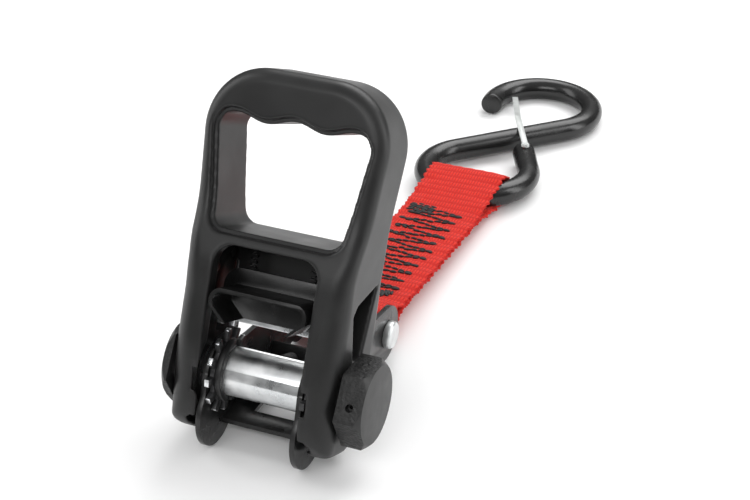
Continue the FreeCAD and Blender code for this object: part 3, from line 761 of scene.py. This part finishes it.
seeds = bpy.data.meshes.new("stitching")
seeds.from_pydata([strap_top(x, y) for x, y, _, _ in stitches], [], [])
turn = seeds.attributes.new("turn", "FLOAT_VECTOR", "POINT")
size = seeds.attributes.new("stretch", "FLOAT_VECTOR", "POINT")
for i, (x, y, heading, stretch) in enumerate(stitches):
    turn.data[i].vector = (0.0, 0.0, heading)
    size.data[i].vector = (stretch, 1.0, 1.0)

thread = paint_mix("thread", ((0.006, 0.006, 0.006), (0.02, 0.02, 0.02)), (0.5, 0.7), 900, 3000, 3e-5)
sewing = bpy.data.node_groups.new("stitch_each_point", "GeometryNodeTree")
sewing.interface.new_socket("Geometry", in_out="INPUT", socket_type="NodeSocketGeometry")
radius_in = sewing.interface.new_socket("Thread radius", in_out="INPUT", socket_type="NodeSocketFloat")
length_in = sewing.interface.new_socket("Stitch length", in_out="INPUT", socket_type="NodeSocketFloat")
sewing.interface.new_socket("Geometry", in_out="OUTPUT", socket_type="NodeSocketGeometry")
given = sewing.nodes.new("NodeGroupInput")
result = sewing.nodes.new("NodeGroupOutput")
bead = sewing.nodes.new("GeometryNodeMeshUVSphere")
bead.inputs["Segments"].default_value = 8
bead.inputs["Rings"].default_value = 6
bead.inputs["Radius"].default_value = 1.0
shape_of = sewing.nodes.new("ShaderNodeCombineXYZ")
halve = sewing.nodes.new("ShaderNodeMath")
halve.operation = "MULTIPLY"
halve.inputs[1].default_value = 0.5
sewing.links.new(given.outputs["Stitch length"], halve.inputs[0])
sewing.links.new(halve.outputs[0], shape_of.inputs["X"])
sewing.links.new(given.outputs["Thread radius"], shape_of.inputs["Y"])
sewing.links.new(given.outputs["Thread radius"], shape_of.inputs["Z"])
stretch_bead = sewing.nodes.new("GeometryNodeTransform")
sewing.links.new(bead.outputs["Mesh"], stretch_bead.inputs["Geometry"])
sewing.links.new(shape_of.outputs[0], stretch_bead.inputs["Scale"])
turn_in = sewing.nodes.new("GeometryNodeInputNamedAttribute")
turn_in.data_type = "FLOAT_VECTOR"
turn_in.inputs["Name"].default_value = "turn"
size_in = sewing.nodes.new("GeometryNodeInputNamedAttribute")
size_in.data_type = "FLOAT_VECTOR"
size_in.inputs["Name"].default_value = "stretch"
to_turn = sewing.nodes.new("FunctionNodeEulerToRotation")
sewing.links.new(turn_in.outputs["Attribute"], to_turn.inputs[0])
set_down = sewing.nodes.new("GeometryNodeInstanceOnPoints")
sewing.links.new(given.outputs["Geometry"], set_down.inputs["Points"])
sewing.links.new(stretch_bead.outputs[0], set_down.inputs["Instance"])
sewing.links.new(to_turn.outputs[0], set_down.inputs["Rotation"])
sewing.links.new(size_in.outputs["Attribute"], set_down.inputs["Scale"])
real = sewing.nodes.new("GeometryNodeRealizeInstances")
dye = sewing.nodes.new("GeometryNodeSetMaterial")
dye.inputs["Material"].default_value = thread
sewing.links.new(set_down.outputs[0], real.inputs[0])
sewing.links.new(real.outputs[0], dye.inputs[0])
sewing.links.new(dye.outputs[0], result.inputs[0])

sewn = bpy.data.objects.new("stitching", seeds)
scene.collection.objects.link(sewn)
sew = sewn.modifiers.new("sewing", "NODES")
sew.node_group = sewing
sew[radius_in.identifier] = THREAD
sew[length_in.identifier] = DASH
depsgraph = bpy.context.evaluated_depsgraph_get()
sewn_mesh = bpy.data.meshes.new_from_object(sewn.evaluated_get(depsgraph))
sewn.modifiers.clear()
sewn.data = sewn_mesh
sewn_mesh.shade_smooth()
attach(sewn, "strap")

# ---- hook: a bent steel rod dipped in black vinyl ----------------------------------------
# The rod closes an eye against its shank, crosses over and opens into the bow. The dip
# rounds off the edges of its cut ends.
vinyl = paint_mix(
    "hook_vinyl", ((0.007, 0.007, 0.007), (0.011, 0.011, 0.011)), (0.2, 0.3), 90, 700, 1.6e-5
)
softened("s_hook", "hook", vinyl, 0.9 * MM, steps=3, angle=50.0)
plated = paint_mix(
    "keeper_plate", ((0.52, 0.54, 0.53), (0.64, 0.66, 0.65)), (0.35, 0.5), 200, 1200, 1e-5, metal=0.3
)
softened("keeper_strip", "keeper", plated, 0.25 * MM)
nodes["keeper_rivet"].data.materials.clear()
nodes["keeper_rivet"].data.materials.append(plated)
